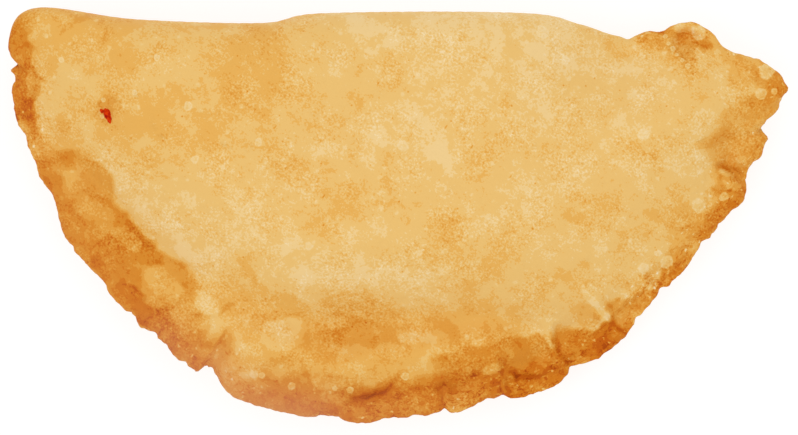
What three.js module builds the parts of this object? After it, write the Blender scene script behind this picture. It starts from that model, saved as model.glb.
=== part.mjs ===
// Half-moon empanada: a disc of dough folded over its filling, pressed shut along its round edge and fried.
// Millimetres, +Z up. The fold lies along X on the +Y side, and the pressed rim sweeps round the -Y side.
// The part rests on the flat of its belly with the puffed face up, and its origin is below the box's middle.

import * as THREE from "three";

// Heights
const SEAM_HEIGHT = 8; // resting surface to the seam between the two sheets of dough at the rim
const FOLD_LIFT = 1.5; // how much higher the middle of the folded edge lies
const RIM_THICKNESS = 4.4; // both sheets pressed together
const DOME_RISE = 16.5; // puffed face above the pressed rim
const BELLY_DROP = 8.5; // rounded belly below the rim, before the resting flat cuts it off
const RIM_WAVE = 0.7; // rise and fall of the seam along the part
const DOME_LUMP = 0.5; // unevenness of the puffed face

// Runs in from the edge
const RIM_ROUNDING = 3; // to the rim's full thickness
const FOLD_NOSE = 23; // from the fold to the top of the dome
const DOME_REACH = 40; // from the pressed edge to the top of the dome
const BELLY_NOSE = 16; // from the fold to the bottom of the belly
const BELLY_RIM = 5; // rim that stays flat on the underside
const BELLY_RUN = 18; // from there to the bottom of the belly
const SLOPE_BLEND = 4; // over which slopes from different stretches of the rim run together

// Fullness of the dome
const WALL_FULLNESS = 2.4; // larger rounds the shoulder of its wall sooner
const NOSE_FULLNESS = 2.5; // two is an ellipse over the fold, larger is squarer

// Wavelengths of the wave in the seam and of the lumps in the dome
const SEAM_WAVE_LENGTH = 52;
const LUMP_LENGTH_X = 44;
const LUMP_LENGTH_Y = 31;

// Height of the belt, towards the fold, over which the seam lifts
const LIFT_START = 8;
const LIFT_END = 38;

// Even edge of the dough seen from above, counter-clockwise from the left corner, without its breaks.
// The pressed edge comes first and ends past the ear on the right. The folded edge leads back.
const PRESSED_EDGE = [
  [-74.6, 33], [-73.1, 20.5], [-64.3, -2.3], [-50.5, -19.8], [-32.5, -34.3], [-6, -39.2], [27, -33.5],
  [50, -15.5], [66.5, 5], [70.5, 15], [75, 24], [70, 29.6], [62.3, 33], [56.5, 37.2], [44, 34.4],
];
const FOLDED_EDGE = [[35, 36.7], [24, 38.8], [-14, 38.8], [-26, 36.9], [-50, 37.6], [-69.5, 39.8]];
const RIGHT_TIP = 10; // place of the right tip in the pressed edge

// Breaks and lobes of the pressed edge: at is the share of its length from the left corner,
// out is how far it stands beyond the even edge, half is half of its length.
const EDGE_BREAKS = [
  { at: 0.018, out: -1.3, half: 2.6 },
  { at: 0.057, out: 0.6, half: 3 },
  { at: 0.123, out: -1, half: 3.5 },
  { at: 0.155, out: 0.4, half: 4 },
  { at: 0.194, out: -0.6, half: 2.6 },
  { at: 0.256, out: -0.8, half: 4 },
  { at: 0.283, out: -0.5, half: 2.4 },
  { at: 0.307, out: -2.5, half: 3.6 },
  { at: 0.402, out: -0.7, half: 3 },
  { at: 0.425, out: 0.8, half: 3.4 },
  { at: 0.447, out: -0.4, half: 3 },
  { at: 0.485, out: -0.7, half: 2 },
  { at: 0.522, out: -1.3, half: 4.5 },
  { at: 0.57, out: 0.5, half: 4 },
  { at: 0.592, out: -0.9, half: 2 },
  { at: 0.627, out: 1.2, half: 5.4 },
  { at: 0.678, out: -0.9, half: 2 },
  { at: 0.725, out: -0.5, half: 2.4 },
  { at: 0.768, out: 0.8, half: 2.6 },
  { at: 0.79, out: -1.4, half: 2.4 },
  { at: 0.829, out: -1.5, half: 2 },
  { at: 0.849, out: -1.2, half: 2.6 },
  { at: 0.911, out: -0.7, half: 4.2 },
  { at: 0.975, out: -0.6, half: 2 },
];

// Width of the pressed rim, edge to the foot of the dome: share of the pressed edge, millimetres
const RIM_WIDTHS = [
  [0, 4.5], [0.06, 3.2], [0.085, 4.5], [0.11, 12], [0.16, 12], [0.21, 13.6], [0.245, 15.2], [0.29, 18.5],
  [0.4, 21], [0.54, 20.5], [0.6, 8], [0.66, 2.8], [0.74, 2.8], [0.8, 8], [0.87, 4.5], [1, 4],
];

// Softness of the dome's foot, crisp at the left and a wide valley at the bottom: share, millimetres
const FOOT_SOFTNESS = [
  [0, 1.2], [0.1, 0.7], [0.25, 0.9], [0.33, 4.5], [0.5, 4.5], [0.58, 2], [0.64, 1.4], [0.67, 2.4],
  [0.75, 2.4], [0.79, 4], [0.85, 4], [0.9, 2.4], [1, 2],
];

// Relief of the rim: swollen pads, dents left by the fingers and the ridges pinched up between them.
// At is the share of the pressed edge, inward the distance from it, rise the height,
// along and across the half lengths along the edge and away from it.
const RIM_RELIEF = [
  { at: 0.106, inward: 6.5, rise: 1.2, along: 4, across: 2.6 },
  { at: 0.142, inward: 6.5, rise: 1.2, along: 4, across: 3 },
  { at: 0.236, inward: 10, rise: 1.3, along: 4, across: 3 },
  { at: 0.266, inward: 13, rise: 1.8, along: 5, across: 4 },
  { at: 0.325, inward: 11, rise: 3.6, along: 8, across: 6 },
  { at: 0.372, inward: 12, rise: 2.6, along: 6, across: 4.5 },
  { at: 0.411, inward: 10, rise: 3.2, along: 6, across: 4.5 },
  { at: 0.468, inward: 12.5, rise: 3.6, along: 9, across: 5 },
  { at: 0.53, inward: 11, rise: 3.4, along: 8, across: 6 },
  { at: 0.195, inward: 6, rise: -1, along: 4.5, across: 4 },
  { at: 0.288, inward: 5, rise: -0.9, along: 4, across: 3 },
  { at: 0.431, inward: 5, rise: -1, along: 4, across: 2.2 },
  { at: 0.494, inward: 5.5, rise: -1.2, along: 3.5, across: 2.4 },
  { at: 0.563, inward: 5.5, rise: -1.2, along: 5, across: 2.2 },
  { at: 0.625, inward: 2.2, rise: -1.1, along: 5, across: 2 },
  { at: 0.689, inward: 2.8, rise: -1, along: 4, across: 2 },
  { at: 0.8, inward: 7.5, rise: -1.2, along: 3, across: 3 },
  { at: 0.957, inward: 3.6, rise: -2, along: 3, across: 2.6 },
  { at: 0.5345, inward: 7.5, rise: 1.1, along: 1.8, across: 3 },
  { at: 0.591, inward: 9, rise: 1.1, along: 1.8, across: 4 },
  { at: 0.636, inward: 7, rise: 1.4, along: 1.9, across: 5 },
  { at: 0.771, inward: 3.5, rise: 1.2, along: 1.8, across: 3 },
];

// Pleats pinched into the rim, each with a ridge on its left and a lower terrace on its right.
// At is the share of the pressed edge, reach how far inward the pleat goes, drop and run the depth and
// length of its terrace, ridge the height of its ridge.
const PLEATS = [
  { at: 0.4925, reach: 6, drop: 0.5, run: 11, ridge: 0.2 },
  { at: 0.5385, reach: 7.5, drop: 0.7, run: 12, ridge: 0.4 },
  { at: 0.5885, reach: 8.5, drop: 0.9, run: 11, ridge: 0.5 },
  { at: 0.6345, reach: 7, drop: 0.9, run: 10, ridge: 0.5 },
  { at: 0.678, reach: 4.5, drop: 0.6, run: 8, ridge: 0.3 },
  { at: 0.709, reach: 3, drop: 0.3, run: 8, ridge: 0.2 },
  { at: 0.744, reach: 3, drop: 0.3, run: 6, ridge: 0.2 },
  { at: 0.7805, reach: 7, drop: 0.8, run: 6, ridge: 0.5 },
];
const PLEAT_FACE = 0.6; // half of the slope from the ridge down to the terrace
const PLEAT_END = 1.2; // half of the slope at the inner end of a pleat
const RIDGE_HALF = 1.1; // half width of a ridge, which is also its distance from the pleat
const TERRACE_FLAT = 0.2; // share of a terrace's run that lies at its full depth

// Lower sheet that shows beyond the torn edge of the upper one: share, width of the band, drop of the step
const LOWER_SHEET = [
  [0, 2.5, 0], [0.4, 5, 0], [0.425, 5, 0.9], [0.445, 6, 0.5], [0.47, 6, 0.2], [0.49, 5, 0.9],
  [0.505, 5.2, 0.5], [0.535, 5.2, 0.5], [0.548, 4, 0.9], [0.57, 2.4, 0.9], [0.59, 1.8, 0.5], [0.61, 2, 0.2],
  [0.65, 2.6, 0.5], [0.7, 2.4, 0.4], [0.78, 2.5, 0], [1, 2.5, 0],
];
const STEP_SOFTNESS = 0.8; // half of the slope of that step

// Pit in the puffed face where a fleck of the filling shows
const FLECK_PIT = { x: -55.3, y: 19.4, depth: 0.9, half: 1.8 };

// Grid of the two faces: straight columns fan out from a sagging spine inside the outline to its edge,
// and rings join them, closer together towards the edge. The smooth fold has half as many columns as the rim.
const SPINE_LEFT = [-54, 20];
const SPINE_RIGHT = [54, 13];
const SPINE_SAG = 15;
const FOLD_COLUMNS = 75;
const RIM_COLUMNS = 2 * FOLD_COLUMNS;
const COLUMNS = RIM_COLUMNS + FOLD_COLUMNS;
const TOP_RINGS = 17;
const BELLY_RINGS = 8;
const TOP_CROWDING = 1.6;
const BELLY_CROWDING = 1.9;
const BREAK_FADING = 8; // larger keeps the breaks closer to the edge
const RIM_TO_FOLD = [-1, 3]; // how much farther the rim may be than the fold where its relief fades out

// Fineness of the edge when distances to it are measured
const SAMPLES_PER_SPAN = 40;
const EDGE_SAMPLES = 700;

const PASTRY_COLOUR = "#e3b369";
const PASTRY_ROUGHNESS = 0.55;

const { clamp, smoothstep, lerp } = THREE.MathUtils;

const bell = (distance, half) => Math.exp(-((distance / half) ** 2));

const quarterRound = (share, fullness = 2) => (1 - (1 - clamp(share, 0, 1)) ** fullness) ** (1 / fullness);

const wave = (distance, length) => Math.sin((2 * Math.PI * distance) / length);

// Zero well below nothing and the value itself well above it, rounded between over the blend
const softRamp = (value, blend) => (value + Math.hypot(value, blend)) / 2;

// Value of a list of knots at a share, eased from knot to knot
function easedAt(knots, share, column = 1) {
  const next = Math.max(1, knots.findIndex(([at]) => at >= share));
  const [before, after] = [knots[next - 1], knots[next]];
  return lerp(before[column], after[column], smoothstep(share, before[0], after[0]));
}

function makeEdge() {
  const points = [...PRESSED_EDGE, ...FOLDED_EDGE].map(([x, y]) => new THREE.Vector3(x, y, 0));
  const closedEdge = new THREE.CatmullRomCurve3(points, true, "catmullrom", 0.5);
  closedEdge.arcLengthDivisions = points.length * SAMPLES_PER_SPAN;
  return closedEdge;
}

const edge = makeEdge();
const edgeLengths = edge.getLengths();
const edgeLength = edge.getLength();
const shareAtPoint = (index) => edgeLengths[index * SAMPLES_PER_SPAN] / edgeLength;
const tipShare = shareAtPoint(RIGHT_TIP);
const pressedShare = shareAtPoint(PRESSED_EDGE.length - 1);
const pressedLength = pressedShare * edgeLength;

function sampleEdge(start, end) {
  return Array.from({ length: EDGE_SAMPLES + 1 }, (_, index) => {
    const share = index / EDGE_SAMPLES;
    const point = edge.getPointAt(lerp(start, end, share));
    return { share, x: point.x, y: point.y };
  });
}

const pressedSamples = sampleEdge(0, pressedShare);
const pressedWidths = pressedSamples.map(({ share }) => easedAt(RIM_WIDTHS, share));
const pressedSoftness = pressedSamples.map(({ share }) => easedAt(FOOT_SOFTNESS, share));
const foldedSamples = sampleEdge(pressedShare, 1);

const distancesTo = (samples, x, y) => samples.map((sample) => Math.hypot(sample.x - x, sample.y - y));

// Nearest share of the pressed edge and the gap to it. The distance to the rim, the rim's width and the
// softness of the foot are evened out over the stretches of edge that lie about as close.
function nearRim(x, y) {
  const distances = distancesTo(pressedSamples, x, y);
  const least = Math.min(...distances);
  const { share } = pressedSamples[distances.indexOf(least)];
  const weights = distances.map((distance) => Math.exp((least - distance) / SLOPE_BLEND));
  const total = weights.reduce((sum, weight) => sum + weight, 0);
  const mean = (values) => weights.reduce((sum, weight, index) => sum + weight * values[index], 0) / total;
  return {
    share,
    gap: least,
    rimDistance: mean(distances) - SLOPE_BLEND / 2,
    rimWidth: mean(pressedWidths),
    footSoftness: mean(pressedSoftness),
  };
}

// The relief's marks with their middles and the directions along the edge beside them
const reliefMarks = RIM_RELIEF.map((mark) => {
  const point = edge.getPointAt(mark.at * pressedShare);
  const tangent = edge.getTangentAt(mark.at * pressedShare);
  return {
    ...mark,
    tangent,
    x: point.x - mark.inward * tangent.y,
    y: point.y + mark.inward * tangent.x,
  };
});

function breakAt(share) {
  const along = share / pressedShare;
  return EDGE_BREAKS.reduce(
    (sum, { at, out, half }) => sum + out * bell((along - at) * pressedLength, half), 0);
}

function spinePoint(share) {
  const point = new THREE.Vector2(...SPINE_LEFT).lerp(new THREE.Vector2(...SPINE_RIGHT), share);
  point.y -= SPINE_SAG * 4 * share * (1 - share);
  return point;
}

// One column for each place on the outline: its foot on the spine, its end on the even edge
// and how far the broken edge stands beyond that end
function makeColumns() {
  return Array.from({ length: COLUMNS }, (_, index) => {
    const rimSteps = Math.min(index, RIM_COLUMNS);
    const foldSteps = index - rimSteps;
    const share = (tipShare * rimSteps) / RIM_COLUMNS + ((1 - tipShare) * foldSteps) / FOLD_COLUMNS;
    const point = edge.getPointAt(share);
    const tangent = edge.getTangentAt(share);
    const outward = new THREE.Vector2(tangent.y, -tangent.x);
    const end = new THREE.Vector2(point.x, point.y);
    const spineIndex = rimSteps - 2 * foldSteps;
    const foot = spinePoint(spineIndex / RIM_COLUMNS);
    const depth = end.clone().sub(foot).dot(outward);
    return { foot, end, outward, depth, broken: breakAt(share), spineIndex };
  });
}

// Place on a column: reach is 0 on the spine and 1 on the edge
function placeOn(column, reach) {
  const breakShare = reach ** BREAK_FADING;
  const point = column.foot.clone().lerp(column.end, reach);
  const { x, y } = point.addScaledVector(column.outward, column.broken * breakShare);
  const rim = nearRim(x, y);
  const edgeDistance = (1 - reach) * column.depth + (1 - breakShare) * column.broken;
  const foldDistance = Math.min(...distancesTo(foldedSamples, x, y));
  return {
    x,
    y,
    ...rim,
    edgeDistance,
    foldDistance,
    inward: Math.min(rim.gap, edgeDistance),
    onRim: 1 - smoothstep(rim.rimDistance - foldDistance, ...RIM_TO_FOLD),
  };
}

function seamHeight({ x, y }) {
  const lift = FOLD_LIFT * smoothstep(y, LIFT_START, LIFT_END);
  return SEAM_HEIGHT + lift + RIM_WAVE * wave(x, SEAM_WAVE_LENGTH);
}

const sheetThickness = ({ edgeDistance }) => (RIM_THICKNESS / 2) * quarterRound(edgeDistance / RIM_ROUNDING);

function domeHeight({ x, y, rimDistance, rimWidth, footSoftness, foldDistance }) {
  const wallShare = softRamp(rimDistance - rimWidth, footSoftness) / (DOME_REACH - rimWidth);
  const wall = 1 - (1 - clamp(wallShare, 0, 1)) ** WALL_FULLNESS;
  const lump = DOME_LUMP * wave(x, LUMP_LENGTH_X) * wave(y, LUMP_LENGTH_Y);
  return (DOME_RISE + lump) * wall * quarterRound(foldDistance / FOLD_NOSE, NOSE_FULLNESS);
}

function markHeight({ x, y }) {
  return reliefMarks.reduce((sum, { x: middleX, y: middleY, tangent, rise, along, across }) => {
    const alongDistance = (x - middleX) * tangent.x + (y - middleY) * tangent.y;
    const acrossDistance = (y - middleY) * tangent.x - (x - middleX) * tangent.y;
    return sum + rise * bell(alongDistance, along) * bell(acrossDistance, across);
  }, 0);
}

function pleatHeight({ share, inward, onRim }) {
  return PLEATS.reduce((sum, { at, reach, drop, run, ridge }) => {
    const along = (share - at) * pressedLength;
    const inside = onRim * (1 - smoothstep(inward, reach - PLEAT_END, reach + PLEAT_END));
    const step = smoothstep(along, -PLEAT_FACE, PLEAT_FACE);
    const terrace = step * (1 - smoothstep(along, TERRACE_FLAT * run, run));
    return sum + inside * (ridge * bell(along + RIDGE_HALF, RIDGE_HALF) - drop * terrace);
  }, 0);
}

function sheetStep({ share, inward, onRim }) {
  const beyond = easedAt(LOWER_SHEET, share) - inward;
  return -onRim * easedAt(LOWER_SHEET, share, 2) * smoothstep(beyond, -STEP_SOFTNESS, STEP_SOFTNESS);
}

function rimRelief(place) {
  const relief = markHeight(place) + pleatHeight(place) + sheetStep(place);
  return relief * quarterRound(place.edgeDistance / RIM_ROUNDING);
}

function fleckPit({ x, y }) {
  return FLECK_PIT.depth * bell(Math.hypot(x - FLECK_PIT.x, y - FLECK_PIT.y), FLECK_PIT.half);
}

function topHeight(place) {
  const crust = seamHeight(place) + sheetThickness(place) + domeHeight(place);
  return crust + rimRelief(place) - fleckPit(place);
}

function bellyHeight(place) {
  const rimShare = clamp((place.rimDistance - BELLY_RIM) / BELLY_RUN, 0, 1);
  const drop = BELLY_DROP * (1 - (1 - rimShare) ** 2) * quarterRound(place.foldDistance / BELLY_NOSE);
  return Math.max(0, seamHeight(place) - sheetThickness(place) - drop);
}

// Closed skin of the two faces, which share the ring of vertices along the broken edge
function makeSkin() {
  const positions = [];
  const triangles = [];
  const columns = makeColumns();

  function addVertex(column, reach, heightAt) {
    const place = placeOn(column, reach);
    positions.push(place.x, place.y, heightAt(place));
    return positions.length / 3 - 1;
  }

  const edgeRing = columns.map((column) => addVertex(column, 1, seamHeight));

  function makeRings(count, crowding, heightAt) {
    const spine = columns.slice(0, RIM_COLUMNS + 1).map((column) => addVertex(column, 0, heightAt));
    const rings = [];
    for (let ring = 1; ring < count; ring += 1) {
      const reach = 1 - (1 - ring / count) ** crowding;
      rings.push(columns.map((column) => addVertex(column, reach, heightAt)));
    }
    rings.push(edgeRing);
    return { spine, rings };
  }

  // Triangles that fan out from the first corner of a face, whose corners run counter-clockwise from above
  function addFan([first, ...others], facesUp) {
    const corners = facesUp ? others : others.reverse();
    for (let corner = 0; corner + 1 < corners.length; corner += 1) {
      triangles.push(first, corners[corner], corners[corner + 1]);
    }
  }

  function addFace({ spine, rings }, facesUp) {
    for (let index = 0; index < COLUMNS; index += 1) {
      const next = (index + 1) % COLUMNS;
      const [start, end] = [columns[index].spineIndex, columns[next].spineIndex];
      const between = start - end === 2 ? [spine[end + 1]] : [];
      addFan([...between, spine[start], rings[0][index], rings[0][next], spine[end]], facesUp);
      for (let ring = 0; ring + 1 < rings.length; ring += 1) {
        const [inner, outer] = [rings[ring], rings[ring + 1]];
        addFan([inner[index], outer[index], outer[next], inner[next]], facesUp);
      }
    }
  }

  addFace(makeRings(TOP_RINGS, TOP_CROWDING, topHeight), true);
  addFace(makeRings(BELLY_RINGS, BELLY_CROWDING, bellyHeight), false);

  const skin = new THREE.BufferGeometry();
  skin.setAttribute("position", new THREE.Float32BufferAttribute(positions, 3));
  skin.setIndex(triangles);
  return skin;
}

// Stands the skin on the resting surface with its box centred over the origin
function centreOnBase(skin) {
  skin.computeBoundingBox();
  const { min, max } = skin.boundingBox;
  skin.translate(-(min.x + max.x) / 2, -(min.y + max.y) / 2, -min.z);
  skin.computeVertexNormals();
  return skin;
}

function makeEmpanada() {
  const pastry = new THREE.MeshStandardMaterial({
    color: PASTRY_COLOUR,
    roughness: PASTRY_ROUGHNESS,
    metalness: 0,
  });
  const body = new THREE.Mesh(centreOnBase(makeSkin()), pastry);
  body.name = "empanada";
  const group = new THREE.Group();
  group.add(body);
  return group;
}

export default makeEmpanada();
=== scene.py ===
# Looks of a fried half-moon empanada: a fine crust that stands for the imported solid, in the same frame.
# The form is worked out in millimetres from the same values as the solid and becomes metres in the mesh.
import math
from types import SimpleNamespace

import bmesh
import bpy
import numpy as np
from mathutils import Color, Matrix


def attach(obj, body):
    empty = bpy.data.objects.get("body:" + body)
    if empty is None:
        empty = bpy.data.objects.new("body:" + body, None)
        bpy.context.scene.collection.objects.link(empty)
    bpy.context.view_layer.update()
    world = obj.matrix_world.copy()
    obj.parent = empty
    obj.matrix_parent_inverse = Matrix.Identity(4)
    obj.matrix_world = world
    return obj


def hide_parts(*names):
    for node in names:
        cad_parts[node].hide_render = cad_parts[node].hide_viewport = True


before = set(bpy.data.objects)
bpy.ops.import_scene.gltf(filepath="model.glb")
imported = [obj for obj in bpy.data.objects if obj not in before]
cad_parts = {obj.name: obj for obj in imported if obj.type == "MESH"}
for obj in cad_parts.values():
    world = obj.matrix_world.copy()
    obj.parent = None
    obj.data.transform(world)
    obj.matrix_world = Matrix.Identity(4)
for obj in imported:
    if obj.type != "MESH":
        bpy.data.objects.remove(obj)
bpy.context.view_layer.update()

MM = 0.001
SEED = 41

# Values of the solid; lengths are in millimetres, and shares are of the pressed edge's length

# Heights
SEAM_HEIGHT = 8
FOLD_LIFT = 1.5
RIM_THICKNESS = 4.4
DOME_RISE = 16.5
BELLY_DROP = 8.5
RIM_WAVE = 0.7
DOME_LUMP = 0.5

# Runs in from the edge
RIM_ROUNDING = 3
FOLD_NOSE = 23
DOME_REACH = 40
BELLY_NOSE = 16
BELLY_RIM = 5
BELLY_RUN = 18
SLOPE_BLEND = 4
# How much farther the rim may be than the fold where its relief fades out
RIM_TO_FOLD = (-1, 3)

# Fullness of the dome, and wavelengths
WALL_FULLNESS = 2.4
NOSE_FULLNESS = 2.5
SEAM_WAVE_LENGTH = 52
LUMP_LENGTH_X = 44
LUMP_LENGTH_Y = 31
LIFT_START = 8
LIFT_END = 38

# Even edge seen from above, counter-clockwise from the left corner
PRESSED_EDGE = [
    (-74.6, 33), (-73.1, 20.5), (-64.3, -2.3), (-50.5, -19.8), (-32.5, -34.3), (-6, -39.2), (27, -33.5),
    (50, -15.5), (66.5, 5), (70.5, 15), (75, 24), (70, 29.6), (62.3, 33), (56.5, 37.2), (44, 34.4),
]
FOLDED_EDGE = [(35, 36.7), (24, 38.8), (-14, 38.8), (-26, 36.9), (-50, 37.6), (-69.5, 39.8)]
RIGHT_TIP = 10

# Breaks of the pressed edge: share, millimetres out, half length
EDGE_BREAKS = [
    (0.018, -1.3, 2.6), (0.057, 0.6, 3), (0.123, -1, 3.5), (0.155, 0.4, 4), (0.194, -0.6, 2.6),
    (0.256, -0.8, 4), (0.283, -0.5, 2.4), (0.307, -2.5, 3.6), (0.402, -0.7, 3), (0.425, 0.8, 3.4),
    (0.447, -0.4, 3), (0.485, -0.7, 2), (0.522, -1.3, 4.5), (0.57, 0.5, 4), (0.592, -0.9, 2),
    (0.627, 1.2, 5.4), (0.678, -0.9, 2), (0.725, -0.5, 2.4), (0.768, 0.8, 2.6), (0.79, -1.4, 2.4),
    (0.829, -1.5, 2), (0.849, -1.2, 2.6), (0.911, -0.7, 4.2), (0.975, -0.6, 2),
]

# Width of the pressed rim to the foot of the dome: share, millimetres
RIM_WIDTHS = [
    (0, 4.5), (0.06, 3.2), (0.085, 4.5), (0.11, 12), (0.16, 12), (0.21, 13.6), (0.245, 15.2),
    (0.29, 18.5), (0.4, 21), (0.54, 20.5), (0.6, 8), (0.66, 2.8), (0.74, 2.8), (0.8, 8), (0.87, 4.5),
    (1, 4),
]

# Softness of the dome's foot along the rim: share, millimetres
FOOT_SOFTNESS = [
    (0, 1.2), (0.1, 0.7), (0.25, 0.9), (0.33, 4.5), (0.5, 4.5), (0.58, 2), (0.64, 1.4), (0.67, 2.4),
    (0.75, 2.4), (0.79, 4), (0.85, 4), (0.9, 2.4), (1, 2),
]

# Relief of the rim: share, millimetres inward, rise, half length, half width
RIM_RELIEF = [
    (0.106, 6.5, 1.2, 4, 2.6), (0.142, 6.5, 1.2, 4, 3), (0.236, 10, 1.3, 4, 3), (0.266, 13, 1.8, 5, 4),
    (0.325, 11, 3.6, 8, 6), (0.372, 12, 2.6, 6, 4.5), (0.411, 10, 3.2, 6, 4.5), (0.468, 12.5, 3.6, 9, 5),
    (0.53, 11, 3.4, 8, 6), (0.195, 6, -1, 4.5, 4), (0.288, 5, -0.9, 4, 3), (0.431, 5, -1, 4, 2.2),
    (0.494, 5.5, -1.2, 3.5, 2.4), (0.563, 5.5, -1.2, 5, 2.2), (0.625, 2.2, -1.1, 5, 2),
    (0.689, 2.8, -1, 4, 2), (0.8, 7.5, -1.2, 3, 3), (0.957, 3.6, -2, 3, 2.6), (0.5345, 7.5, 1.1, 1.8, 3),
    (0.591, 9, 1.1, 1.8, 4), (0.636, 7, 1.4, 1.9, 5), (0.771, 3.5, 1.2, 1.8, 3),
]

# Pleats with a lower terrace on their right: share, reach inward, drop, run of the terrace, ridge
PLEATS = [
    (0.4925, 6, 0.5, 11, 0.2), (0.5385, 7.5, 0.7, 12, 0.4), (0.5885, 8.5, 0.9, 11, 0.5),
    (0.6345, 7, 0.9, 10, 0.5), (0.678, 4.5, 0.6, 8, 0.3), (0.709, 3, 0.3, 8, 0.2),
    (0.744, 3, 0.3, 6, 0.2), (0.7805, 7, 0.8, 6, 0.5),
]

# Lower sheet that shows past the torn upper one: share, width of the band, drop of the step
LOWER_SHEET = [
    (0, 2.5, 0), (0.4, 5, 0), (0.425, 5, 0.9), (0.445, 6, 0.5), (0.47, 6, 0.2), (0.49, 5, 0.9),
    (0.505, 5.2, 0.5), (0.535, 5.2, 0.5), (0.548, 4, 0.9), (0.57, 2.4, 0.9), (0.59, 1.8, 0.5),
    (0.61, 2, 0.2), (0.65, 2.6, 0.5), (0.7, 2.4, 0.4), (0.78, 2.5, 0), (1, 2.5, 0),
]

# Pit where a fleck of the filling shows
FLECK_PIT = SimpleNamespace(x=-55.3, y=19.4, depth=0.9, half=1.8)

# Values of the fine crust alone

# Small tears and flakes too sharp for the solid, in the same way as its breaks
SMALL_BREAKS = [
    (0.0145, -1, 0.8), (0.0205, 0.8, 0.6), (0.0285, -0.6, 1.2), (0.07, -0.4, 0.8), (0.0915, -0.3, 1),
    (0.1605, -0.4, 0.7), (0.2045, 0.25, 0.9), (0.2265, -0.55, 0.4), (0.2305, -0.6, 0.7), (0.24, 0.5, 1),
    (0.2505, -0.5, 0.7), (0.2545, 0.35, 0.45), (0.263, -0.35, 0.6), (0.268, -0.2, 0.7),
    (0.2765, 0.3, 0.7), (0.2825, -0.35, 0.5), (0.2935, 0.35, 0.4), (0.2963, -1.6, 0.4),
    (0.2995, -0.9, 0.6), (0.3025, -0.8, 0.6), (0.3155, 0.5, 1.6), (0.327, 0.36, 1.4), (0.396, -0.4, 0.8),
    (0.4875, -0.6, 0.5), (0.495, 0.3, 1.4), (0.5325, -0.6, 0.9), (0.545, 0.3, 1.4), (0.589, -0.5, 0.5),
    (0.61, 0.3, 1), (0.65, -0.4, 0.8), (0.68, -0.15, 0.5), (0.7265, -0.3, 0.6), (0.8105, 0.3, 1.4),
    (0.819, 0.6, 0.8), (0.824, -0.7, 0.6), (0.9285, 0.4, 1.4), (0.943, -0.35, 1.6), (0.984, 0.4, 1.6),
    (0.673, 0.35, 1.2), (0.684, 0.4, 0.7), (0.732, 0.25, 0.5), (0.744, -0.3, 0.5), (0.783, -0.35, 0.5),
    (0.7985, -0.3, 0.5), (0.822, -0.7, 0.35), (0.858, 0.3, 0.7), (0.866, -0.4, 1), (0.9995, -0.55, 1),
    (0.393, -0.3, 0.4), (0.3965, 0.22, 1.2), (0.408, -0.2, 0.5), (0.4245, -0.3, 1), (0.441, -0.3, 0.6),
    (0.466, -0.48, 2),
]

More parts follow.
